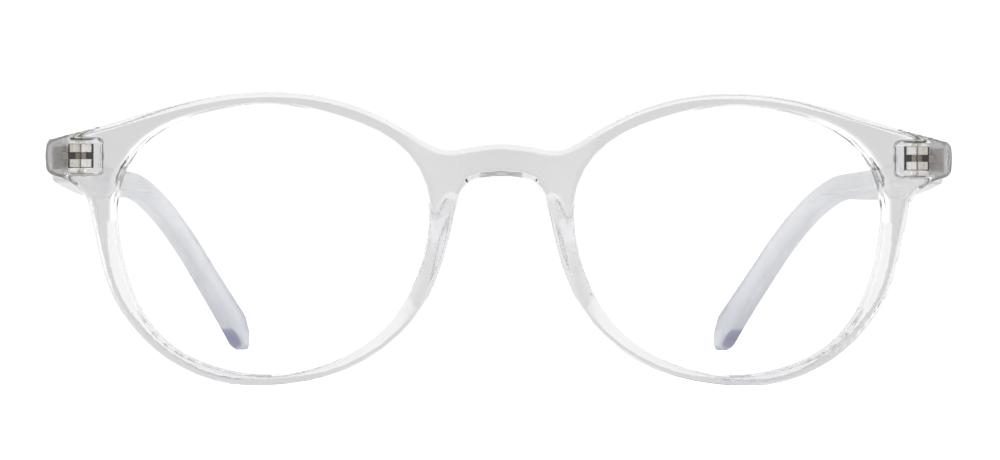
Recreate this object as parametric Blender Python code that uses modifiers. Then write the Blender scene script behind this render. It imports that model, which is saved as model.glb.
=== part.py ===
"""Clear round eyeglasses with moulded nose pads and three-barrel hinges.

Frame of the model: +X to the wearer's left, +Y from the front towards the ears, +Z up. The
glasses stand on the bottoms of both rims and on both temple tips at Z = 0. Lengths are in metres.
"""
import math

import bmesh
import bpy
from mathutils import Matrix, Vector

MM = 0.001

# Whole object
OVERALL_DEPTH = 139.8 * MM     # bridge front to temple tips
WRAP_RADIUS = 420.0 * MM       # base curve of the front, seen from above

# Front
FRONT_DEPTH = 4.0 * MM         # thickness from the front face to the back face
OUTER_EDGE_RADIUS = 0.6 * MM
INNER_FRONT_RADIUS = 0.9 * MM  # round edges of the lens openings
INNER_BACK_RADIUS = 0.4 * MM
SLICE_SPACING = 5.0 * MM       # between the edges that let the flat front bend
FRONT_HALF_OUTLINE = (         # X, Z in mm, from the top of the bridge round to its underside
    (0.0, 36.5), (4.7, 36.0), (8.3, 35.5), (10.7, 36.2), (14.3, 38.4), (19.1, 40.95), (24.0, 42.75),
    (28.8, 43.8), (33.7, 44.2), (38.6, 44.15), (43.5, 43.6), (48.4, 42.6), (53.4, 41.3), (58.4, 39.85),
    (63.4, 38.45), (67.8, 37.35), (69.0, 36.85), (69.35, 35.8), (69.35, 33.4), (69.1, 32.2), (68.2, 31.6),
    (66.7, 31.2), (65.1, 30.3), (63.7, 29.0), (62.8, 27.4), (62.3, 25.0), (61.55, 21.7), (60.5, 17.2),
    (58.9, 13.0), (56.15, 8.9), (52.5, 5.2), (48.4, 2.55), (43.6, 0.65), (38.0, -0.05), (32.4, 0.2),
    (26.6, 1.3), (20.6, 3.75), (15.4, 7.5), (12.0, 11.7), (10.1, 15.5), (8.8, 19.0), (7.7, 23.3),
    (6.7, 27.6), (5.8, 29.6), (4.3, 30.7), (2.3, 31.15), (0.0, 31.3),
)

# Lens openings: the distance from the lens centre to the visible edge, every 30 degrees from the
# temple side over the top, and the groove that holds the lens
LENS_CENTRE_X = 34.65 * MM
LENS_CENTRE_Z = 21.9 * MM
LENS_REACH = (23.9, 25.2, 22.0, 20.5, 21.1, 24.2, 23.35, 21.8, 20.6, 20.4, 21.55, 23.0)
LENS_STEPS = 56
LENS_RINGS = (0.0, 0.35, 0.65, 0.85)    # where the domed faces have a ring, as a share of the edge
GROOVE_DEPTH = 0.55 * MM
GROOVE_HALF_WIDTH = 0.6 * MM
GROOVE_Y = 1.9 * MM
LENS_EDGE_HALF = 0.8 * MM      # half of the lens thickness at its edge
LENS_DOME = 1.5 * MM           # how far the middle of the lens stands in front of its edge
LENS_GAP = 0.08 * MM

# Moulded nose pads: fins that grow backwards from the nose side of the rims. Each station gives
# X and Z on the nose edge of the front, in mm, and how far back the pad reaches as a share
PAD_STATIONS = (
    (6.35, 29.0, 0.0), (6.6, 27.9, 0.12), (6.95, 26.4, 0.38), (7.35, 24.7, 0.68), (7.8, 22.9, 0.9),
    (8.25, 21.1, 1.0), (8.7, 19.4, 0.97), (9.25, 17.5, 0.82), (9.9, 15.9, 0.6), (10.75, 14.1, 0.35),
    (11.8, 12.2, 0.12), (12.7, 10.9, 0.0),
)
PAD_ROOT_Y = 1.6 * MM          # embedded in the front
PAD_HEEL_Y = 3.6 * MM          # where the nose side starts to lean outwards
PAD_REACH = 4.2 * MM           # how far the pad stands behind the heel at its deepest
PAD_LEAN = 16.0                # degrees, back edge outwards
PAD_INSET = 0.06 * MM          # from the nose edge of the front to the pad's nose side
PAD_ROOT_WIDTH = 2.3 * MM
PAD_TIP_WIDTH = 1.7 * MM
PAD_TIP_DEPTH = 0.35 * MM      # how much the middle of the back end stands proud of its sides
PAD_ROUND_STEPS = 8

# Relief behind the bridge: it slopes the back edge of the nose arch. X and Z of half its outline
# where it is widest, in mm, and the share of that size at its front end
RELIEF_HALF_OUTLINE = ((6.3, 28.6), (6.35, 30.2), (5.8, 31.6), (3.4, 32.45), (0.0, 32.75))
RELIEF_CENTRE_Z = 27.0 * MM
RELIEF_Y = (1.3 * MM, 4.6 * MM)
RELIEF_FRONT_SHARE = 0.72

# Endpiece block that carries the hinge
END_BLOCK_X = (60.8 * MM, 69.1 * MM)
END_BLOCK_Z = (31.9 * MM, 37.3 * MM)
END_BLOCK_FRONT = 7.0 * MM
END_BLOCK_EDGE_RADIUS = 0.5 * MM
BUTT_Y = 12.5 * MM             # back face of the endpiece, where the temple stops
BUTT_GAP = 0.2 * MM

# Hinge: axis and barrels
HINGE_X = 63.95 * MM
HINGE_Y = 14.2 * MM
BARREL_RADIUS = 1.65 * MM
EAR_LOWER = (32.95 * MM, 34.15 * MM)
EAR_UPPER = (35.25 * MM, 36.45 * MM)
KNUCKLE_PLAY = 0.05 * MM
EAR_ROOT_Y = 9.4 * MM          # front end of the ears, embedded in the endpiece
BARREL_STEPS = 16
PLATE_HALF_WIDTH = 1.95 * MM   # base plate that joins the ears inside the endpiece
PLATE_Z = (32.85 * MM, 36.55 * MM)
PLATE_Y = (10.7 * MM, 11.3 * MM)
BOSS_HALF_WIDTH = 0.8 * MM     # boss on the front of the plate, between the ears
BOSS_Y = 10.0 * MM
BOSS_INSET = 0.03 * MM         # above and below the boss
INSERT_GAP = 0.08 * MM         # between an insert and its plastic
SCREW_RADIUS = 0.65 * MM
SCREW_STEPS = 24
SCREW_BORE_RADIUS = 0.7 * MM
SCREW_BORE_Z = (30.0 * MM, 40.0 * MM)    # longer than the hinge, so that it cuts right through
SCREW_HEAD_RADIUS = 1.05 * MM
SCREW_TAIL_Z = 31.8 * MM
SCREW_HEAD_Z = (36.5 * MM, 37.1 * MM)
SLOT_WIDTH = 0.35 * MM         # screwdriver slot
SLOT_DEPTH = 0.3 * MM
ANCHOR_X = (66.4 * MM, 68.4 * MM)
ANCHOR_Y = (13.1 * MM, 17.9 * MM)
ANCHOR_Z = (32.7 * MM, 36.3 * MM)
ANCHOR_RIBS = 3
RIB_DEPTH = 0.35 * MM
ARM_OVERLAP = 0.5 * MM         # of the knuckle's arm into the anchor

# Temples: a flat bar cut to its side profile and then bent in behind the ear
TEMPLE_START = Vector((67.65 * MM, BUTT_Y + BUTT_GAP, 34.1 * MM))    # centre of the butt end
TEMPLE_LENGTH = 137.55 * MM     # to the centre of the round tip
TEMPLE_STEPS = 32
TIP_TURN = 20                  # degrees between the points of the round tip
TEMPLE_SLOPE = (               # share of the length, degrees down
    (0.0, 7.5), (0.25, 0.3), (0.5, -1.0), (0.65, 14.6), (0.82, 40.0), (1.0, 54.2),
)
TEMPLE_INWARD = ((0.0, 2.3), (0.5, 1.6), (0.75, 15.8), (1.0, 23.8))    # the same, degrees in
TEMPLE_HEIGHT = ((0.0, 6.7), (0.12, 6.0), (0.3, 5.3), (0.5, 4.5), (0.75, 4.8), (0.94, 4.8), (1.0, 5.0))
TEMPLE_THICKNESS = 3.4 * MM
TEMPLE_TIP_SHARE = 0.82        # tip thickness as a share of the thickness at the hinge
TEMPLE_EDGE_RADIUS = 0.8 * MM

CUT_PAST = 1.0 * MM            # how far a cutter runs on outside the face it cuts
WELD = 0.001 * MM              # points closer than this are one point


# ---------------------------------------------------------------- helpers

def clear_scene():
    for obj in list(bpy.data.objects):
        bpy.data.objects.remove(obj, do_unlink=True)


def new_collection(name):
    collection = bpy.data.collections.new(name)
    bpy.context.scene.collection.children.link(collection)
    return collection


def plastic(name, color, transmission, ior):
    material = bpy.data.materials.new(name)
    material.use_nodes = True
    shader = material.node_tree.nodes["Principled BSDF"]
    shader.inputs["Base Color"].default_value = (*color, 1.0)
    shader.inputs["Roughness"].default_value = 0.04
    shader.inputs["Transmission Weight"].default_value = transmission
    shader.inputs["IOR"].default_value = ior
    return material


def metal(name, color, roughness):
    material = bpy.data.materials.new(name)
    material.use_nodes = True
    shader = material.node_tree.nodes["Principled BSDF"]
    shader.inputs["Base Color"].default_value = (*color, 1.0)
    shader.inputs["Metallic"].default_value = 1.0
    shader.inputs["Roughness"].default_value = roughness
    return material


def blend(table, share):
    """The value at a share of the way along a table of (share, value) stations."""
    for (start, first), (end, last) in zip(table, table[1:]):
        if share <= end:
            return first + (last - first) * (share - start) / (end - start)
    return table[-1][1]


def object_from_bmesh(name, bm, collection):
    bmesh.ops.recalc_face_normals(bm, faces=bm.faces)
    mesh = bpy.data.meshes.new(name)
    bm.to_mesh(mesh)
    bm.free()
    obj = bpy.data.objects.new(name, mesh)
    collection.objects.link(obj)
    return obj


def evaluated_mesh(obj):
    """A copy of the object's mesh with its modifiers applied and its caps welded."""
    bpy.context.view_layer.update()
    graph = bpy.context.evaluated_depsgraph_get()
    mesh = bpy.data.meshes.new_from_object(obj.evaluated_get(graph))
    bm = bmesh.new()
    bm.from_mesh(mesh)
    bmesh.ops.remove_doubles(bm, verts=bm.verts, dist=WELD)
    bm.to_mesh(mesh)
    bm.free()
    return mesh


def bake(obj):
    """Applies the object's modifiers, so that later steps work on the finished mesh."""
    mesh = evaluated_mesh(obj)
    obj.modifiers.clear()
    obj.data = mesh


def flat_plate(name, outline, depth, edge_radius, resolution, bevel_steps, collection):
    """A plate cut to an outline of (X, Z) points, with its round edges inside that outline."""
    curve = bpy.data.curves.new(name, "CURVE")
    curve.dimensions = "2D"
    curve.fill_mode = "BOTH"
    curve.extrude = depth / 2 - edge_radius
    curve.bevel_depth = edge_radius
    curve.bevel_resolution = bevel_steps
    curve.offset = -edge_radius
    curve.resolution_u = resolution
    spline = curve.splines.new("BEZIER" if resolution > 1 else "POLY")
    if resolution > 1:
        spline.bezier_points.add(len(outline) - 1)
        for point, (x, z) in zip(spline.bezier_points, outline):
            point.co = (x, z, 0.0)
            point.handle_left_type = "AUTO"
            point.handle_right_type = "AUTO"
    else:
        spline.points.add(len(outline) - 1)
        for point, (x, z) in zip(spline.points, outline):
            point.co = (x, z, 0.0, 1.0)
    spline.use_cyclic_u = True
    drawn = bpy.data.objects.new(name + "_curve", curve)
    collection.objects.link(drawn)
    plate = bpy.data.objects.new(name, evaluated_mesh(drawn))
    collection.objects.link(plate)
    bpy.data.objects.remove(drawn)
    plate.data.transform(Matrix.Rotation(math.pi / 2, 4, "X"))
    plate.data.transform(Matrix.Translation((0.0, depth / 2, 0.0)))
    return plate


def box(name, low, high, collection, edge_radius=0.0):
    bm = bmesh.new()
    bmesh.ops.create_cube(bm, size=1.0)
    size = [b - a for a, b in zip(low, high)]
    middle = [(a + b) / 2 for a, b in zip(low, high)]
    bmesh.ops.scale(bm, vec=size, verts=bm.verts)
    bmesh.ops.translate(bm, vec=middle, verts=bm.verts)
    obj = object_from_bmesh(name, bm, collection)
    if edge_radius:
        bevel = obj.modifiers.new("round_edges", "BEVEL")
        bevel.width = edge_radius
        bevel.segments = 3
        bake(obj)
    return obj


def prism(name, outline, z_range, collection):
    """A flat outline of (X, Y) points stood up between two heights."""
    bm = bmesh.new()
    face = bm.faces.new([bm.verts.new((x, y, z_range[0])) for x, y in outline])
    raised = bmesh.ops.extrude_face_region(bm, geom=[face])["geom"]
    bmesh.ops.translate(
        bm, vec=(0.0, 0.0, z_range[1] - z_range[0]),
        verts=[item for item in raised if isinstance(item, bmesh.types.BMVert)])
    return object_from_bmesh(name, bm, collection)


def upright_cylinder(name, centre, radius, z_range, steps, collection):
    bm = bmesh.new()
    height = z_range[1] - z_range[0]
    bmesh.ops.create_cone(
        bm, cap_ends=True, segments=steps, radius1=radius, radius2=radius, depth=height)
    bmesh.ops.translate(bm, vec=(centre[0], centre[1], sum(z_range) / 2), verts=bm.verts)
    return object_from_bmesh(name, bm, collection)


def ground(name, collection):
    """A cutter below Z = 0, which leaves small flat faces where a piece rests."""
    span = OVERALL_DEPTH
    return box(name, (-span, -span, -span), (span, 2.0 * span, 0.0), collection)


def combine(target, tool, operation):
    """Cuts the tool from the target, joins it or keeps what they share, and bakes the result."""
    step = target.modifiers.new(operation.lower(), "BOOLEAN")
    step.operation = operation
    step.solver = "EXACT"
    step.object = tool
    bake(target)


def hide_tool(tool):
    tool.hide_render = True
    tool.display_type = "WIRE"


def cut(target, tool):
    combine(target, tool, "DIFFERENCE")
    hide_tool(tool)


def join(target, tool):
    combine(target, tool, "UNION")
    bpy.data.objects.remove(tool)


def mirrored(obj, name, collection):
    """The same piece for the other side, mirrored across X = 0."""
    mesh = obj.data.copy()
    mesh.transform(Matrix.Scale(-1.0, 4, (1.0, 0.0, 0.0)))
    mesh.flip_normals()
    copy = bpy.data.objects.new(name, mesh)
    collection.objects.link(copy)
    return copy


def finish(obj, material, smooth_angle=40.0):
    obj.data.materials.clear()
    obj.data.materials.append(material)
    obj.data.shade_smooth()
    obj.data.set_sharp_from_angle(angle=math.radians(smooth_angle))


def set_origin(obj, point):
    """Moves the object's origin to a point and leaves the piece where it is."""
    obj.data.transform(Matrix.Translation(-Vector(point)))
    obj.location = point


# ---------------------------------------------------------------- front and lenses

def wrap(obj):
    """Bends a piece of the flat front round the base curve."""
    for vertex in obj.data.vertices:
        x, y, z = vertex.co
        angle = math.asin(x / WRAP_RADIUS)
        vertex.co = (
            x - y * math.sin(angle),
            WRAP_RADIUS * (1.0 - math.cos(angle)) + y * math.cos(angle),
            z,
        )


def slice_across(obj, spacing):
    """Adds edges at equal X steps, so that wide faces can follow the base curve."""
    bm = bmesh.new()
    bm.from_mesh(obj.data)
    reach = max(abs(vertex.co.x) for vertex in bm.verts)
    steps = int(reach / spacing)
    for step in range(-steps, steps + 1):
        bmesh.ops.bisect_plane(
            bm, geom=bm.verts[:] + bm.edges[:] + bm.faces[:], dist=WELD / 10,
            plane_co=(step * spacing, 0.0, 0.0), plane_no=(1.0, 0.0, 0.0))
    bmesh.ops.triangulate(bm, faces=bm.faces)
    bm.to_mesh(obj.data)
    bm.free()


def lens_reach(angle):
    """Distance from the lens centre to the visible edge: a smooth closed curve through LENS_REACH."""
    count = len(LENS_REACH)
    total = sum(LENS_REACH) / count
    for wave in range(1, count // 2 + 1):
        share = (1.0 if wave * 2 == count else 2.0) / count
        turns = [2.0 * math.pi * wave * step / count for step in range(count)]
        cosine = sum(reach * math.cos(turn) for reach, turn in zip(LENS_REACH, turns))
        sine = sum(reach * math.sin(turn) for reach, turn in zip(LENS_REACH, turns))
        total += share * (cosine * math.cos(wave * angle) + sine * math.sin(wave * angle))
    return total * MM


def turned_to_lens(name, profile, collection):
    """A closed blank turned about the lens axis whose radius follows the lens outline.

    Each profile point is (share, beyond, y): the radius is that share of the lens outline plus a
    distance beyond it. The first and last points lie on the axis.
    """
    bm = bmesh.new()
    rings = []
    for share, beyond, y in profile[1:-1]:
        ring = []
        for step in range(LENS_STEPS):
            angle = 2.0 * math.pi * step / LENS_STEPS
            radius = share * lens_reach(angle) + beyond
            ring.append(bm.verts.new((
                LENS_CENTRE_X + radius * math.cos(angle), y, LENS_CENTRE_Z + radius * math.sin(angle))))
        rings.append(ring)
    for near, far in zip(rings, rings[1:]):
        for step in range(LENS_STEPS):
            after = (step + 1) % LENS_STEPS
            bm.faces.new((near[step], near[after], far[after], far[step]))
    for ring, pole in ((rings[0], profile[0]), (rings[-1], profile[-1])):
        tip = bm.verts.new((LENS_CENTRE_X, pole[2], LENS_CENTRE_Z))
        for step in range(LENS_STEPS):
            bm.faces.new((tip, ring[step], ring[(step + 1) % LENS_STEPS]))
    return object_from_bmesh(name, bm, collection)


def round_lip(radius):
    """A round edge of the lens opening, from outside the face to the wall, facing forwards."""
    middle = radius * (1.0 - math.sqrt(0.5))
    return [
        (1.0, radius + CUT_PAST, -CUT_PAST), (1.0, radius, 0.0), (1.0, middle, middle), (1.0, 0.0, radius),
    ]


def opening_profile():
    """The lens opening: round front and back edges, straight walls and the V groove between."""
    front = round_lip(INNER_FRONT_RADIUS)
    lip = reversed(round_lip(INNER_BACK_RADIUS))
    back = [(share, beyond, FRONT_DEPTH - y) for share, beyond, y in lip]
    groove = [
        (1.0, 0.0, GROOVE_Y - GROOVE_HALF_WIDTH),
        (1.0, GROOVE_DEPTH, GROOVE_Y),
        (1.0, 0.0, GROOVE_Y + GROOVE_HALF_WIDTH),
    ]
    return [(0.0, 0.0, -CUT_PAST), *front, *groove, *back, (0.0, 0.0, FRONT_DEPTH + CUT_PAST)]


def lens_profile():
    """The lens: two parallel domed faces and a V edge that sits in the groove."""
    faces = [(share, GROOVE_Y - LENS_DOME * (1.0 - share * share)) for share in LENS_RINGS]
    shy = -2.0 * LENS_GAP
    front = [(share, 0.0, y - LENS_EDGE_HALF) for share, y in faces]
    back = [(share, 0.0, y + LENS_EDGE_HALF) for share, y in reversed(faces)]
    edge = [
        (1.0, shy, GROOVE_Y - LENS_EDGE_HALF),
        (1.0, shy, GROOVE_Y - GROOVE_HALF_WIDTH),
        (1.0, GROOVE_DEPTH - 2.0 * LENS_GAP, GROOVE_Y),
        (1.0, shy, GROOVE_Y + GROOVE_HALF_WIDTH),
        (1.0, shy, GROOVE_Y + LENS_EDGE_HALF),
    ]
    return [*front, *edge, *back]


def pad_section(reach):
    """One section of a pad as (outwards from the nose edge, Y): a tongue with a crowned back end."""
    lean = math.tan(math.radians(PAD_LEAN))
    half = PAD_TIP_WIDTH / 2
    back = PAD_HEEL_Y + PAD_REACH * reach
    middle = PAD_INSET + lean * (back - PAD_HEEL_Y) + half
    points = [(PAD_INSET + PAD_ROOT_WIDTH, PAD_ROOT_Y), (PAD_INSET, PAD_ROOT_Y), (PAD_INSET, PAD_HEEL_Y / 2)]
    for step in range(PAD_ROUND_STEPS + 1):
        angle = math.pi * (1.0 - step / PAD_ROUND_STEPS)
        points.append((middle + half * math.cos(angle), back + PAD_TIP_DEPTH * math.sin(angle)))
    return points


def nose_pad(collection):
    """One moulded pad, lofted along the nose edge of the rim."""
    bm = bmesh.new()
    rings = []
    for index, (x, z, reach) in enumerate(PAD_STATIONS):
        before = PAD_STATIONS[max(index - 1, 0)]
        after = PAD_STATIONS[min(index + 1, len(PAD_STATIONS) - 1)]
        along = Vector((after[0] - before[0], after[1] - before[1])).normalized()
        outwards = Vector((-along.y, along.x))
        rings.append([
            bm.verts.new((x * MM + outwards.x * out, y, z * MM + outwards.y * out))
            for out, y in pad_section(reach)])
    for near, far in zip(rings, rings[1:]):
        for step in range(len(near)):
            after = (step + 1) % len(near)
            bm.faces.new((near[step], near[after], far[after], far[step]))
    bm.faces.new(rings[0])
    bm.faces.new(rings[-1])
    bmesh.ops.triangulate(bm, faces=bm.faces)
    return object_from_bmesh("nose_pad", bm, collection)


def nose_relief(collection):
    """The tapered cutter that slopes the back edge of the nose arch."""
    left = [(x * MM, z * MM) for x, z in RELIEF_HALF_OUTLINE]
    outline = left + [(-x, z) for x, z in reversed(left[:-1])]
    bm = bmesh.new()
    face = bm.faces.new([bm.verts.new((x, RELIEF_Y[1], z)) for x, z in outline])
    raised = bmesh.ops.extrude_face_region(bm, geom=[face])["geom"]
    front_end = [item for item in raised if isinstance(item, bmesh.types.BMVert)]
    centre = Matrix.Translation((0.0, -RELIEF_Y[1], -RELIEF_CENTRE_Z))
    bmesh.ops.scale(bm, vec=(RELIEF_FRONT_SHARE, 1.0, RELIEF_FRONT_SHARE), space=centre, verts=front_end)
    bmesh.ops.translate(bm, vec=(0.0, RELIEF_Y[0] - RELIEF_Y[1], 0.0), verts=front_end)
    return object_from_bmesh("nose_relief", bm, collection)


def front_outline():
    right = [(x * MM, z * MM) for x, z in FRONT_HALF_OUTLINE]
    left = [(-x, z) for x, z in reversed(right[1:-1])]
    return right + left


def make_front(parts, cutters):
    front = flat_plate("front_frame", front_outline(), FRONT_DEPTH, OUTER_EDGE_RADIUS, 2, 1, parts)
    opening = turned_to_lens("lens_opening_left", opening_profile(), cutters)
    cut(front, opening)
    cut(front, mirrored(opening, "lens_opening_right", cutters))
    cut(front, nose_relief(cutters))
    slice_across(front, SLICE_SPACING)
    wrap(front)
    pad = nose_pad(parts)
    other_pad = mirrored(pad, "nose_pad_right", parts)
    join(front, pad)
    join(front, other_pad)
    add_end_blocks(front, parts)
    pocket = ear_shape("ear_pocket_left", INSERT_GAP, cutters)
    cut(front, pocket)
    cut(front, mirrored(pocket, "ear_pocket_right", cutters))
    cut(front, ground("front_ground", cutters))
    return front


def add_end_blocks(front, parts):
    """Thickens both endpieces backwards to the faces that the temples stop against."""
    low = (END_BLOCK_X[0], END_BLOCK_FRONT, END_BLOCK_Z[0])
    high = (END_BLOCK_X[1], BUTT_Y, END_BLOCK_Z[1])
    block = box("end_block", low, high, parts, END_BLOCK_EDGE_RADIUS)
    other_block = mirrored(block, "end_block_right", parts)
    join(front, block)
    join(front, other_block)


def make_lens(parts):
    lens = turned_to_lens("lens_left", lens_profile(), parts)
    wrap(lens)
    return lens


# ---------------------------------------------------------------- hinge

def lobe(x_far, y_far, margin):
    """A flat outline (X, Y): round about the hinge axis and square at its far corner."""
    radius = BARREL_RADIUS + margin
    along_y = y_far is not None
    points = []
    for step in range(BARREL_STEPS + 1):
        angle = math.pi * step / BARREL_STEPS + (0.0 if along_y else math.pi / 2)
        points.append((HINGE_X + radius * math.cos(angle), HINGE_Y + radius * math.sin(angle)))
    if along_y:
        return points + [(HINGE_X - radius, y_far), (HINGE_X + radius, y_far)]
    return points + [(x_far, HINGE_Y - radius), (x_far, HINGE_Y + radius)]


def ear_shape(name, margin, collection):
    """The front leaf's two ears and its base plate, grown by a margin for their pocket."""
    outline = lobe(None, EAR_ROOT_Y - margin, margin)
    half = PLATE_HALF_WIDTH + margin
    leaf = box(
        name,
        (HINGE_X - half, PLATE_Y[0] - margin, PLATE_Z[0] - margin),
        (HINGE_X + half, PLATE_Y[1] + margin, PLATE_Z[1] + margin), collection)
    for ear in (EAR_LOWER, EAR_UPPER):
        join(leaf, prism(name + "_ear", outline, (ear[0] - margin, ear[1] + margin), collection))
    boss_half = BOSS_HALF_WIDTH + margin
    boss = box(
        name + "_boss",
        (HINGE_X - boss_half, BOSS_Y - margin, EAR_LOWER[1] + BOSS_INSET - margin),
        (HINGE_X + boss_half, sum(PLATE_Y) / 2, EAR_UPPER[0] - BOSS_INSET + margin), collection)
    join(leaf, boss)
    return leaf


def bore_for_screw(leaf, cutters):
    bore = upright_cylinder(
        leaf.name + "_bore", (HINGE_X, HINGE_Y), SCREW_BORE_RADIUS, SCREW_BORE_Z, SCREW_STEPS, cutters)
    cut(leaf, bore)


def make_front_leaf(parts, cutters):
    leaf = ear_shape("hinge_front_leaf_left", 0.0, parts)
    bore_for_screw(leaf, cutters)
    return leaf


def make_screw(parts, cutters):
    axis = (HINGE_X, HINGE_Y)
    shank_z = (SCREW_TAIL_Z, sum(SCREW_HEAD_Z) / 2)
    screw = upright_cylinder("hinge_screw_left", axis, SCREW_RADIUS, shank_z, SCREW_STEPS, parts)
    head = upright_cylinder("screw_head", axis, SCREW_HEAD_RADIUS, SCREW_HEAD_Z, SCREW_STEPS, parts)
    join(screw, head)
    reach = 2.0 * SCREW_HEAD_RADIUS
    half = SLOT_WIDTH / 2
    slot = box(
        "screw_slot",
        (HINGE_X - reach, HINGE_Y - half, SCREW_HEAD_Z[1] - SLOT_DEPTH),
        (HINGE_X + reach, HINGE_Y + half, SCREW_HEAD_Z[1] + SLOT_DEPTH), cutters)
    cut(screw, slot)
    return screw


def anchor_outline(margin):
    """The anchor seen from above (X, Y): a bar whose outer side is notched by ribs."""
    x_low, x_high = ANCHOR_X[0] - margin, ANCHOR_X[1] + margin
    y_low, y_high = ANCHOR_Y[0] - margin, ANCHOR_Y[1] + margin
    if margin:
        return [(x_low, y_low), (x_high, y_low), (x_high, y_high), (x_low, y_high)]
    pitch = (y_high - y_low) / (2 * ANCHOR_RIBS + 1)
    points = [(x_low, y_low)]
    for step in range(2 * ANCHOR_RIBS + 1):
        x = x_high if step % 2 == 0 else x_high - RIB_DEPTH
        points += [(x, y_low + step * pitch), (x, y_low + (step + 1) * pitch)]
    return points + [(x_low, y_high)]


def temple_leaf_shape(name, margin, collection):
    """The temple leaf: a knuckle on the axis, an arm and a ribbed anchor inside the temple."""
    knuckle_z = (EAR_LOWER[1] + KNUCKLE_PLAY - margin, EAR_UPPER[0] - KNUCKLE_PLAY + margin)
    leaf = prism(name, lobe(ANCHOR_X[0] + ARM_OVERLAP, None, margin), knuckle_z, collection)
    anchor = prism(
        name + "_anchor", anchor_outline(margin), (ANCHOR_Z[0] - margin, ANCHOR_Z[1] + margin), collection)
    join(leaf, anchor)
    return leaf


def make_temple_leaf(parts, cutters):
    leaf = temple_leaf_shape("hinge_temple_leaf_left", 0.0, parts)
    bore_for_screw(leaf, cutters)
    return leaf


# ---------------------------------------------------------------- temple

def temple_centreline():
    """Stations (centre, slope down, share of the length) from the butt end to the tip's centre."""
    stations = []
    centre = TEMPLE_START.copy()
    step = TEMPLE_LENGTH / TEMPLE_STEPS
    for index in range(TEMPLE_STEPS + 1):
        share = index / TEMPLE_STEPS
        stations.append((centre.copy(), math.radians(blend(TEMPLE_SLOPE, share)), share))
        halfway = share + 0.5 / TEMPLE_STEPS
        slope = math.radians(blend(TEMPLE_SLOPE, halfway))
        inward = math.radians(blend(TEMPLE_INWARD, halfway))
        run = math.cos(inward) * step
        centre += Vector((-math.sin(inward) * step, run * math.cos(slope), -run * math.sin(slope)))
    return stations


def temple_outline(stations):
    """The side profile (Y, Z): top edge, round tip and bottom edge."""
    top = []
    bottom = []
    for centre, slope, share in stations:
        lean = slope if share > 0.0 else 0.0
        half = Vector((0.0, math.sin(lean), math.cos(lean))) * blend(TEMPLE_HEIGHT, share) * MM / 2
        top.append(centre + half)
        bottom.append(centre - half)
    centre, slope, share = stations[-1]
    tip = []
    for turn in range(TIP_TURN, 180, TIP_TURN):
        angle = math.radians(90.0 - turn) - slope
        reach = blend(TEMPLE_HEIGHT, share) * MM / 2
        tip.append(centre + Vector((0.0, math.cos(angle), math.sin(angle))) * reach)
    return [(point.y, point.z) for point in top + tip + bottom[::-1]]


def bend_in(temple, stations):
    """Thins the flat bar towards its tip and moves it onto the centreline, seen from above."""
    path = [(centre.y, centre.x) for centre, _, _ in stations]
    butt, tip = path[0][0], path[-1][0]
    for vertex in temple.data.vertices:
        x, y, z = vertex.co
        share = min(max((y - butt) / (tip - butt), 0.0), 1.0)
        thin = 1.0 - (1.0 - TEMPLE_TIP_SHARE) * share
        vertex.co = (x * thin + blend(path, y), y, z)


def make_temple(parts, cutters):
    stations = temple_centreline()
    temple = flat_plate(
        "temple_left", temple_outline(stations), TEMPLE_THICKNESS, TEMPLE_EDGE_RADIUS, 1, 1, parts)
    temple.data.transform(Matrix.Translation((0.0, -TEMPLE_THICKNESS / 2, 0.0)))
    temple.data.transform(Matrix.Rotation(math.pi / 2, 4, "Z"))
    bend_in(temple, stations)
    pocket = temple_leaf_shape("temple_pocket_left", INSERT_GAP, cutters)
    cut(temple, pocket)
    cut(temple, ground("temple_ground", cutters))
    return temple


# ---------------------------------------------------------------- assembly

def main():
    clear_scene()
    parts = new_collection("eyeglasses")
    cutters = new_collection("cutters")
    clear = plastic("clear_plastic", (0.90, 0.90, 0.91), 1.0, 1.53)
    tinted = plastic("temple_plastic", (0.88, 0.88, 0.93), 1.0, 1.53)
    lens_clear = plastic("lens", (0.99, 0.99, 1.0), 1.0, 1.5)
    nickel = metal("nickel", (0.78, 0.75, 0.68), 0.25)
    steel = metal("screw_steel", (0.72, 0.71, 0.68), 0.3)

    root = bpy.data.objects.new("eyeglasses_root", None)
    parts.objects.link(root)
    root.location = (0.0, -OVERALL_DEPTH / 2, 0.0)

    front = make_front(parts, cutters)
    finish(front, clear)
    front.parent = root

    hinge_axis = (HINGE_X, HINGE_Y, TEMPLE_START.z)
    handed = (
        ("lens", make_lens(parts), lens_clear, (LENS_CENTRE_X, GROOVE_Y, LENS_CENTRE_Z)),
        ("hinge_front_leaf", make_front_leaf(parts, cutters), nickel, hinge_axis),
        ("hinge_screw", make_screw(parts, cutters), steel, hinge_axis),
        ("hinge_temple_leaf", make_temple_leaf(parts, cutters), nickel, hinge_axis),
        ("temple", make_temple(parts, cutters), tinted, hinge_axis),
    )
    for name, left, material, origin in handed:
        right = mirrored(left, name + "_right", parts)
        for obj, side in ((left, 1.0), (right, -1.0)):
            finish(obj, material)
            set_origin(obj, (side * origin[0], origin[1], origin[2]))
            obj.parent = root


main()
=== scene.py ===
"""Looks for the clear round eyeglasses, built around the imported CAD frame."""
import math

import bmesh
import bpy
from mathutils import Matrix, Vector


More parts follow.
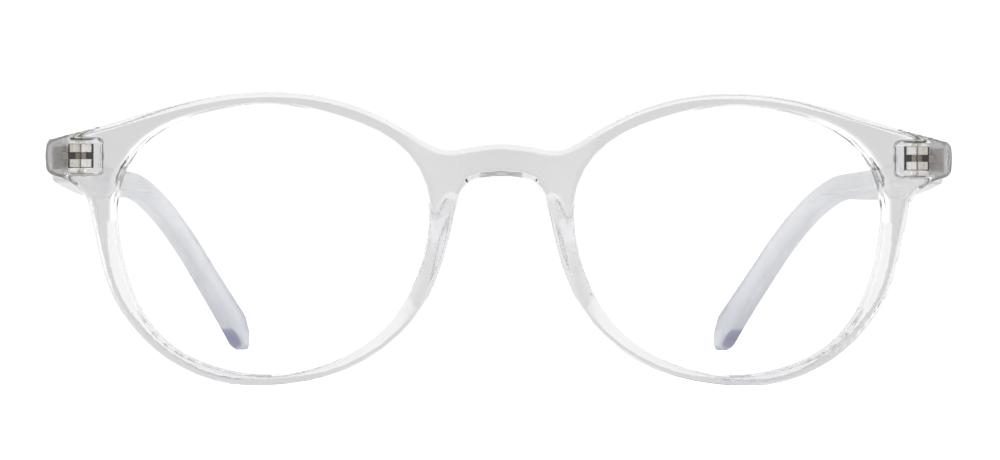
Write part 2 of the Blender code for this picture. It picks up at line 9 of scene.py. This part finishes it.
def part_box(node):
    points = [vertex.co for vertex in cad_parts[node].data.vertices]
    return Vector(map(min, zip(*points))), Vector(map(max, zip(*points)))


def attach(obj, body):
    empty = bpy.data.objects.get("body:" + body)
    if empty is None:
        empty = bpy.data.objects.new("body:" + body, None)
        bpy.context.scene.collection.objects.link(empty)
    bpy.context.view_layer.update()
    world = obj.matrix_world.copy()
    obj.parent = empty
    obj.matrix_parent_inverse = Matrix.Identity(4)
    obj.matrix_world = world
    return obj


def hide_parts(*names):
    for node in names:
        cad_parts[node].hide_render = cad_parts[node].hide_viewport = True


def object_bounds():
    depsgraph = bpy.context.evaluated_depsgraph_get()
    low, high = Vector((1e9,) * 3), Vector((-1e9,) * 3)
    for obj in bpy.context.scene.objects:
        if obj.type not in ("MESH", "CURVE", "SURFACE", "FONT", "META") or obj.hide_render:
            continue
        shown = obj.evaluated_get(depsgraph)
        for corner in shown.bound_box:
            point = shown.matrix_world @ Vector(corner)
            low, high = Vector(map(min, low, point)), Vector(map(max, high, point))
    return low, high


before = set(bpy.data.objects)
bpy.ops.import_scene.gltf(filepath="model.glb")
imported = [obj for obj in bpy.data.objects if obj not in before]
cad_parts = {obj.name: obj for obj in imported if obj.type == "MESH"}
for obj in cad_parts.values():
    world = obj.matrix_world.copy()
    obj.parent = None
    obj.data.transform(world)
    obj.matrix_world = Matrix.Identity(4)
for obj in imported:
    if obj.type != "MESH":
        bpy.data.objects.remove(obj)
cad_low, cad_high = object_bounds()

MM = 0.001
SIDES = ("left", "right")

# Camera: a long lens, level with the middle of the rims and turned a little to one side
CAMERA_SIDE = -0.3 * MM
CAMERA_ROLL = math.radians(0.13)
CAMERA_DISTANCE = 396.0 * MM
CAMERA_HEIGHT = 21.16 * MM
CAMERA_TURN = math.radians(1.6)
TARGET_HEIGHT = 23.45 * MM
SENSOR_WIDTH = 36.0    # in millimetres, as the focal length is
FOCAL_LENGTH = 94.8
NEAR_CLIP = 10.0 * MM

# Light tent: brightness by how far a direction points away from the camera, from 0, back at the
# camera, to 1, straight behind the object
TENT = ((0.0, 1.0), (0.3, 1.15), (0.45, 1.35), (0.93, 1.35), (0.98, 0.8))

# Dark patch of the tent, above and in front: its direction, and its share of the brightness by
# how close a direction comes to it
PATCH_TOWARDS = (0.0, -0.6, 0.8)
PATCH = ((0.93, 1.0), (0.97, 0.35))

# Brightness of the tent as the camera sees it
BACKDROP_SEEN = 1.15

# Floor: half its side in metres, its squares along a side, its paleness, its gloss, and how much
# it lifts towards white where the camera sees it
FLOOR_HALF = 6.0
FLOOR_SQUARES = 8
FLOOR_SHADE = ((0.3, 0.9), (0.7, 0.93))
FLOOR_ROUGHNESS = 0.9
FLOOR_SPECULAR = 0.1
FLOOR_LIFT = 0.6

# Plastic of the front: its grey tint, painted shade that stands in for a greyer backdrop seen
# through it, roughness of the polish, depth of the ripple, refraction
FRONT_GREY_SHADE = ((0.35, (0.81, 0.81, 0.82)), (0.65, (0.84, 0.84, 0.85)))
FRONT_POLISH = (0.03, 0.07)
FRONT_RIPPLE = 0.02 * MM
FRONT_IOR = 1.5

# Satin skin of the nose pads: where it sets in, from the middle outwards and from the front
# backwards, and the roughness that it adds
PAD_X = (13.0 * MM, 17.0 * MM)
PAD_Y = (3.6 * MM, 4.6 * MM)
PAD_SATIN = 0.5

# Plastic of the temples: tint of the streaks, how they are drawn out along each axis, their
# depth, roughness of the haze, refraction, and the clear share, the rest being milky
TEMPLE_TINT = ((0.3, (0.79, 0.79, 0.82)), (0.7, (0.87, 0.87, 0.89)))
STREAK_STRETCH = (1.0, 0.06, 0.35)
STREAK_RELIEF = 0.004 * MM
TEMPLE_HAZE = (0.29, 0.35)
TEMPLE_IOR = 1.4
TEMPLE_CLEAR = 0.65

# Painted light: a brighter stretch behind the flat end that butts against the front, for the
# light carried along the temple there: its length and its colour
BUTT_DEPTH = 50.0 * MM
BUTT_PAINTED_LIGHT = (0.97, 0.965, 0.96)

# Violet end of the temples: its height, and its tint from the bottom of the tip upwards
TIP_HEIGHT = 25.0 * MM
TIP_RAMP = ((0.0, (0.82, 0.83, 0.87)), (0.4, (0.90, 0.91, 0.94)), (1.0, (1.0, 1.0, 1.0)))

# Violet oval on the lower edge of each tip: how far in front of the tip's end and over its
# bottom, its slope, its half length and half width, and its tint from the middle outwards
VIOLET_AT = (5.6 * MM, 2.4 * MM)
VIOLET_SLOPE = math.radians(54.0)
VIOLET_HALF = (2.8 * MM, 0.6 * MM)
VIOLET_RAMP = ((0.0, (0.25, 0.24, 0.41)), (0.7, (0.42, 0.41, 0.58)), (1.0, (1.0, 1.0, 1.0)))

# Lenses: tint, roughness of the mirror, and its share from face on to edge on
LENS_TINT = ((0.4, (0.985, 0.99, 0.99)), (0.6, (0.995, 0.998, 1.0)))
LENS_POLISH = (0.0, 0.03)
LENS_GLOSS = ((0.0, 0.04), (0.6, 0.05), (0.85, 0.15), (1.0, 0.5))

# Plated metals: dark and light of the brushing, range of the roughness, and how the brushing
# lines are drawn out along each axis
NICKEL = (((0.30, 0.25, 0.20), (0.56, 0.48, 0.40)), (0.28, 0.455), (0.06, 1.0, 0.6))
SCREW_METAL = (((0.78, 0.76, 0.70), (0.95, 0.93, 0.88)), (0.16, 0.26), (1.0, 1.0, 0.04))
PLATING_RELIEF = 0.003 * MM

# Front leaf of the hinge: painted light and shade from its inner to its outer side (bright, a
# painted dark groove in the middle, olive) and from its front backwards (a painted brown shade
# band, then painted near-black shade over the base plate), how far back that runs, dark and light
# of the brushing, range of the roughness, depth and direction of the brushing
EAR_LIGHT_AND_SHADE = (
    (0.0, (0.95, 0.93, 0.88)), (0.46, (0.95, 0.93, 0.88)), (0.48, (0.25, 0.23, 0.2)),
    (0.53, (0.25, 0.23, 0.2)), (0.55, (0.74, 0.72, 0.64)), (1.0, (0.74, 0.72, 0.64)),
)
LEAF_DEPTH = 3.0 * MM
LEAF_PAINTED_SHADE = (
    (0.0, (1.0, 1.0, 1.0)), (0.17, (1.0, 1.0, 1.0)), (0.19, (0.32, 0.27, 0.25)),
    (0.24, (0.32, 0.27, 0.25)), (0.36, (0.05, 0.045, 0.05)), (0.66, (0.05, 0.045, 0.05)),
    (0.7, (1.0, 1.0, 1.0)),
)
LEAF_BRUSHING = (0.8, 1.0)
LEAF_ROUGHNESS = (0.22, 0.34)
LEAF_RELIEF = 0.002 * MM
LEAF_STRETCH = (1.0, 1.0, 0.04)

# Noises: features per metre, and detail
TINT_NOISE = (90.0, 2.0)
POLISH_NOISE = (260.0, 4.0)
RIPPLE_NOISE = (140.0, 1.0)
STREAK_NOISE = (500.0, 2.0)
HAZE_NOISE = (160.0, 3.0)
LENS_TINT_NOISE = (60.0, 2.0)
LENS_POLISH_NOISE = (300.0, 5.0)
BRUSH_NOISE = (2600.0, 3.0)
WEAR_NOISE = (3500.0, 4.0)
FLOOR_NOISE = (12.0, 2.0)
BRUSH_STOPS = (0.35, 0.65)

# Visible meshes: size of their squares, and how often and how much they are smoothed
FRONT_VOXEL = 0.15 * MM
FRONT_SMOOTHING = 8
TEMPLE_VOXEL = 0.18 * MM
TEMPLE_SMOOTHING = 6
SMOOTH_FACTOR = 0.5
WELD = 0.001 * MM

# Filling of a pocket: how far it runs past the insert, and the plastic left under the surface
POCKET_REACH = 0.2 * MM
POCKET_SKIN = 0.35 * MM


# ---------------------------------------------------------------- nodes

def new_material(name):
    material = bpy.data.materials.new(name)
    material.use_nodes = True
    tree = material.node_tree
    return material, tree, tree.nodes["Principled BSDF"]


def noise(tree, kind, stretch=(1.0, 1.0, 1.0)):
    """Noise in the object's own coordinates. Features are longest along the smallest stretch."""
    scale, detail = kind
    coordinates = tree.nodes.new("ShaderNodeTexCoord")
    mapping = tree.nodes.new("ShaderNodeMapping")
    mapping.inputs["Scale"].default_value = stretch
    texture = tree.nodes.new("ShaderNodeTexNoise")
    texture.inputs["Scale"].default_value = scale
    texture.inputs["Detail"].default_value = detail
    tree.links.new(coordinates.outputs["Object"], mapping.inputs["Vector"])
    tree.links.new(mapping.outputs["Vector"], texture.inputs["Vector"])
    return texture.outputs["Fac"]


def maths(tree, operation, *values):
    node = tree.nodes.new("ShaderNodeMath")
    node.operation = operation
    for index, value in enumerate(values):
        tree.links.new(value, node.inputs[index])
    return node.outputs[0]


def spread(tree, value, low, high, start=0.0, end=1.0):
    """Maps a value that runs from start to end to low..high."""
    node = tree.nodes.new("ShaderNodeMapRange")
    node.inputs["From Min"].default_value = start
    node.inputs["From Max"].default_value = end
    node.inputs["To Min"].default_value = low
    node.inputs["To Max"].default_value = high
    tree.links.new(value, node.inputs["Value"])
    return node.outputs["Result"]


def along(tree, axis, start, end, low=0.0, high=1.0):
    """Runs from low to high along one axis of the object, between two places. X has no sign."""
    coordinates = tree.nodes.new("ShaderNodeTexCoord")
    parts = tree.nodes.new("ShaderNodeSeparateXYZ")
    tree.links.new(coordinates.outputs["Object"], parts.inputs["Vector"])
    distance = parts.outputs[axis]
    if axis == "X":
        distance = maths(tree, "ABSOLUTE", distance)
    return spread(tree, distance, low, high, start, end)


def times(tree, first, second):
    """The product of two colours."""
    node = tree.nodes.new("ShaderNodeMix")
    node.data_type = "RGBA"
    node.blend_type = "MULTIPLY"
    node.inputs[0].default_value = 1.0
    tree.links.new(first, node.inputs[6])
    tree.links.new(second, node.inputs[7])
    return node.outputs[2]


def mix(tree, factor, first, second):
    """Runs from the first colour to the second, each a plain colour or another node's output."""
    node = tree.nodes.new("ShaderNodeMix")
    node.data_type = "RGBA"
    tree.links.new(factor, node.inputs[0])
    for socket, color in ((node.inputs[6], first), (node.inputs[7], second)):
        if isinstance(color, tuple):
            socket.default_value = (*color, 1.0)
        else:
            tree.links.new(color, socket)
    return node.outputs[2]


def ramp(tree, value, stops):
    node = tree.nodes.new("ShaderNodeValToRGB")
    elements = node.color_ramp.elements
    while len(elements) < len(stops):
        elements.new(0.5)
    for element, (position, color) in zip(elements, stops):
        element.position = position
        element.color = (*color, 1.0)
    tree.links.new(value, node.inputs["Fac"])
    return node.outputs["Color"]


def grey_ramp(tree, value, stops):
    return ramp(tree, value, [(position, (grey,) * 3) for position, grey in stops])


def violet_oval(tree, centre):
    """Violet tint of an oval round a centre (Y, Z), its long side along the slope of the tip."""
    coordinates = tree.nodes.new("ShaderNodeTexCoord")
    turned = tree.nodes.new("ShaderNodeMapping")
    turned.vector_type = "TEXTURE"
    turned.inputs["Location"].default_value = (0.0, *centre)
    turned.inputs["Rotation"].default_value = (-VIOLET_SLOPE, 0.0, 0.0)
    turned.inputs["Scale"].default_value = (1.0, *VIOLET_HALF)
    reach = tree.nodes.new("ShaderNodeVectorMath")
    reach.operation = "LENGTH"
    tree.links.new(coordinates.outputs["Object"], turned.inputs["Vector"])
    tree.links.new(turned.outputs["Vector"], reach.inputs[0])
    return ramp(tree, reach.outputs["Value"], VIOLET_RAMP)


def bump(tree, height, distance):
    node = tree.nodes.new("ShaderNodeBump")
    node.inputs["Distance"].default_value = distance
    node.inputs["Strength"].default_value = 1.0
    tree.links.new(height, node.inputs["Height"])
    return node.outputs["Normal"]


# ---------------------------------------------------------------- materials

def front_plastic():
    """Polished clear plastic, tinted grey as painted shade, with a satin skin on the moulded nose
    pads.
    """
    material, tree, shader = new_material("clear_plastic_front")
    # painted shade: a grey tint that darkens all that is seen through the plastic
    tint = ramp(tree, noise(tree, TINT_NOISE), FRONT_GREY_SHADE)
    tree.links.new(tint, shader.inputs["Base Color"])
    near_middle = along(tree, "X", *PAD_X, 1.0, 0.0)
    behind = along(tree, "Y", cad_low.y + PAD_Y[0], cad_low.y + PAD_Y[1])
    satin = spread(tree, maths(tree, "MULTIPLY", near_middle, behind), 0.0, PAD_SATIN)
    polish = spread(tree, noise(tree, POLISH_NOISE), *FRONT_POLISH)
    tree.links.new(maths(tree, "ADD", polish, satin), shader.inputs["Roughness"])
    ripple = noise(tree, RIPPLE_NOISE)
    tree.links.new(bump(tree, ripple, FRONT_RIPPLE), shader.inputs["Normal"])
    shader.inputs["IOR"].default_value = FRONT_IOR
    shader.inputs["Transmission Weight"].default_value = 1.0
    return material


def temple_plastic(node):
    """Hazy clear plastic with lengthwise streaks, painted lighter towards its butt, violet at its
    tip.
    """
    material, tree, shader = new_material(node + "_lavender")
    low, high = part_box(node)
    streaks = noise(tree, STREAK_NOISE, STREAK_STRETCH)
    tip = ramp(tree, along(tree, "Z", low.z, low.z + TIP_HEIGHT), TIP_RAMP)
    tint = times(tree, ramp(tree, streaks, TEMPLE_TINT), tip)
    spot = violet_oval(tree, (high.y - VIOLET_AT[0], low.z + VIOLET_AT[1]))
    # painted light: the colour brightens towards the butt end
    behind = along(tree, "Y", low.y, low.y + BUTT_DEPTH)
    behind.node.interpolation_type = "SMOOTHSTEP"
    base = mix(tree, behind, BUTT_PAINTED_LIGHT, times(tree, tint, spot))
    tree.links.new(base, shader.inputs["Base Color"])
    haze = spread(tree, noise(tree, HAZE_NOISE), *TEMPLE_HAZE)
    tree.links.new(haze, shader.inputs["Roughness"])
    tree.links.new(bump(tree, streaks, STREAK_RELIEF), shader.inputs["Normal"])
    shader.inputs["IOR"].default_value = TEMPLE_IOR
    shader.inputs["Transmission Weight"].default_value = TEMPLE_CLEAR
    return material


def lens_glass():
    """A thin clear sheet: it lets light straight through and mirrors more towards edge on."""
    material, tree, shader = new_material("lens_clear")
    tree.nodes.remove(shader)
    through = tree.nodes.new("ShaderNodeBsdfTransparent")
    tint = ramp(tree, noise(tree, LENS_TINT_NOISE), LENS_TINT)
    tree.links.new(tint, through.inputs["Color"])
    mirror = tree.nodes.new("ShaderNodeBsdfGlossy")
    mirror.distribution = "GGX"
    polish = spread(tree, noise(tree, LENS_POLISH_NOISE), *LENS_POLISH)
    tree.links.new(polish, mirror.inputs["Roughness"])
    facing = tree.nodes.new("ShaderNodeLayerWeight")
    join = tree.nodes.new("ShaderNodeMixShader")
    gloss = grey_ramp(tree, facing.outputs["Facing"], LENS_GLOSS)
    tree.links.new(gloss, join.inputs["Fac"])
    tree.links.new(through.outputs["BSDF"], join.inputs[1])
    tree.links.new(mirror.outputs["BSDF"], join.inputs[2])
    tree.links.new(join.outputs["Shader"], tree.nodes["Material Output"].inputs["Surface"])
    return material


def finish_metal(tree, shader, color, lines, roughness, relief):
    """Sets a metal's colour, its uneven roughness and the relief of its brushing lines."""
    tree.links.new(color, shader.inputs["Base Color"])
    wear = spread(tree, noise(tree, WEAR_NOISE), *roughness)
    tree.links.new(wear, shader.inputs["Roughness"])
    tree.links.new(bump(tree, lines, relief), shader.inputs["Normal"])
    shader.inputs["Metallic"].default_value = 1.0


def plated_metal(name, brushing, roughness, stretch):
    """Plated metal with fine brushing lines, drawn out along the axis of the smallest stretch."""
    material, tree, shader = new_material(name)
    lines = noise(tree, BRUSH_NOISE, stretch)
    color = ramp(tree, lines, list(zip(BRUSH_STOPS, brushing)))
    finish_metal(tree, shader, color, lines, roughness, PLATING_RELIEF)
    return material


def leaf_metal(node):
    """The front leaf, in painted light and shade: bright ears, olive on their outer half, a
    painted dark groove down their middle, painted shade on the base plate.
    """
    material, tree, shader = new_material(node + "_nickel")
    low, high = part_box(node)
    inner, outer = sorted((abs(low.x), abs(high.x)))
    lines = noise(tree, BRUSH_NOISE, LEAF_STRETCH)
    # painted light and shade across the ears, and painted shade from the front backwards over the
    # base plate
    ears = ramp(tree, along(tree, "X", inner, outer), EAR_LIGHT_AND_SHADE)
    depth = ramp(tree, along(tree, "Y", low.y, low.y + LEAF_DEPTH), LEAF_PAINTED_SHADE)
    brushing = grey_ramp(tree, lines, list(zip(BRUSH_STOPS, LEAF_BRUSHING)))
    color = times(tree, times(tree, ears, depth), brushing)
    finish_metal(tree, shader, color, lines, LEAF_ROUGHNESS, LEAF_RELIEF)
    return material


# ---------------------------------------------------------------- pieces

def fill_pocket(bm, insert):
    """Adds a block over the part of an insert that lies inside the plastic."""
    low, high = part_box(insert)
    beside = [vertex.co.copy() for vertex in bm.verts if low.y <= vertex.co.y <= high.y]
    for axis in range(3):
        places = [point[axis] for point in beside]
        low[axis] = max(low[axis] - POCKET_REACH, min(places) + POCKET_SKIN)
        high[axis] = min(high[axis] + POCKET_REACH, max(places) - POCKET_SKIN)
    block = bmesh.ops.create_cube(bm, size=1.0)["verts"]
    bmesh.ops.scale(bm, vec=high - low, verts=block)
    bmesh.ops.translate(bm, vec=(low + high) / 2, verts=block)


def refined(node, name, voxel, smoothing, embedded=()):
    """A fine, softly rounded mesh of a CAD node, closed round the nodes embedded in it."""
    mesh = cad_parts[node].data.copy()
    mesh.name = name
    piece = bpy.data.objects.new(name, mesh)
    bpy.context.scene.collection.objects.link(piece)
    bm = bmesh.new()
    bm.from_mesh(mesh)
    bmesh.ops.remove_doubles(bm, verts=bm.verts, dist=WELD)
    for insert in embedded:
        fill_pocket(bm, insert)
    bm.to_mesh(mesh)
    bm.free()
    remesh = piece.modifiers.new("fine_surface", "REMESH")
    remesh.mode = "VOXEL"
    remesh.voxel_size = voxel
    smooth = piece.modifiers.new("soft_edges", "SMOOTH")
    smooth.factor = SMOOTH_FACTOR
    smooth.iterations = smoothing
    graph = bpy.context.evaluated_depsgraph_get()
    baked = bpy.data.meshes.new_from_object(piece.evaluated_get(graph))
    piece.modifiers.clear()
    piece.data = baked
    baked.name = name
    baked.shade_smooth()
    return piece


def place(piece, node, body, material):
    piece.data.materials.clear()
    piece.data.materials.append(material)
    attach(piece, body)
    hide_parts(node)


def make_front(plastic):
    inserts = [f"hinge_front_leaf_{side}" for side in SIDES]
    piece = refined("front_frame", "front_plastic", FRONT_VOXEL, FRONT_SMOOTHING, inserts)
    place(piece, "front_frame", "front", plastic)


def make_temples():
    for side in SIDES:
        node = f"temple_{side}"
        piece = refined(node, node + "_plastic", TEMPLE_VOXEL, TEMPLE_SMOOTHING)
        place(piece, node, node, temple_plastic(node))


def repaint(node, material):
    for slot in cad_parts[node].material_slots:
        slot.material = material


def make_lenses(glass):
    for side in SIDES:
        repaint(f"lens_{side}", glass)


def make_hinges(nickel, steel):
    for side in SIDES:
        leaf = f"hinge_front_leaf_{side}"
        repaint(leaf, leaf_metal(leaf))
        repaint(f"hinge_temple_leaf_{side}", nickel)
        repaint(f"hinge_screw_{side}", steel)


# ---------------------------------------------------------------- studio

def make_camera():
    front = Vector((CAMERA_SIDE, cad_low.y, 0.0))
    away = Vector((math.sin(CAMERA_TURN), math.cos(CAMERA_TURN), 0.0)) * CAMERA_DISTANCE
    stand = front - away + Vector((0.0, 0.0, CAMERA_HEIGHT))
    target = front + Vector((0.0, 0.0, TARGET_HEIGHT))
    aim = (target - stand).to_track_quat("-Z", "Y").to_matrix()
    data = bpy.data.cameras.new("camera")
    data.sensor_width = SENSOR_WIDTH
    data.lens = FOCAL_LENGTH
    data.clip_start = NEAR_CLIP
    camera = bpy.data.objects.new("camera", data)
    camera.location = stand
    camera.rotation_euler = (aim @ Matrix.Rotation(CAMERA_ROLL, 3, "Z")).to_euler()
    bpy.context.scene.collection.objects.link(camera)
    bpy.context.scene.camera = camera


def make_floor():
    bm = bmesh.new()
    bmesh.ops.create_grid(
        bm, x_segments=FLOOR_SQUARES, y_segments=FLOOR_SQUARES, size=FLOOR_HALF)
    mesh = bpy.data.meshes.new("floor")
    bm.to_mesh(mesh)
    bm.free()
    floor = bpy.data.objects.new("floor", mesh)
    bpy.context.scene.collection.objects.link(floor)
    material, tree, shader = new_material("floor_white")
    shade = grey_ramp(tree, noise(tree, FLOOR_NOISE), FLOOR_SHADE)
    tree.links.new(shade, shader.inputs["Base Color"])
    shader.inputs["Roughness"].default_value = FLOOR_ROUGHNESS
    shader.inputs["Specular IOR Level"].default_value = FLOOR_SPECULAR
    path = tree.nodes.new("ShaderNodeLightPath")
    lift = spread(tree, path.outputs["Is Camera Ray"], 0.0, FLOOR_LIFT)
    tree.links.new(lift, shader.inputs["Emission Strength"])
    shader.inputs["Emission Color"].default_value = (1.0, 1.0, 1.0, 1.0)
    mesh.materials.append(material)


def make_world():
    """A light tent, bright at the sides and above, with a dark patch above and in front."""
    world = bpy.data.worlds.new("studio")
    world.use_nodes = True
    bpy.context.scene.world = world
    tree = world.node_tree
    direction = tree.nodes.new("ShaderNodeTexCoord")
    parts = tree.nodes.new("ShaderNodeSeparateXYZ")
    tree.links.new(direction.outputs["Generated"], parts.inputs["Vector"])
    lit = grey_ramp(tree, spread(tree, parts.outputs["Y"], 0.0, 1.0, -1.0, 1.0), TENT)
    near_patch = tree.nodes.new("ShaderNodeVectorMath")
    near_patch.operation = "DOT_PRODUCT"
    near_patch.inputs[1].default_value = PATCH_TOWARDS
    tree.links.new(direction.outputs["Generated"], near_patch.inputs[0])
    shaded = times(tree, lit, grey_ramp(tree, near_patch.outputs["Value"], PATCH))
    path = tree.nodes.new("ShaderNodeLightPath")
    seen = mix(tree, path.outputs["Is Camera Ray"], shaded, (BACKDROP_SEEN,) * 3)
    tree.links.new(seen, tree.nodes["Background"].inputs["Color"])
    bpy.context.scene.view_settings.view_transform = "Standard"


make_camera()
make_floor()
make_world()
make_front(front_plastic())
make_temples()
make_lenses(lens_glass())
make_hinges(plated_metal("nickel_plate", *NICKEL), plated_metal("screw_metal", *SCREW_METAL))
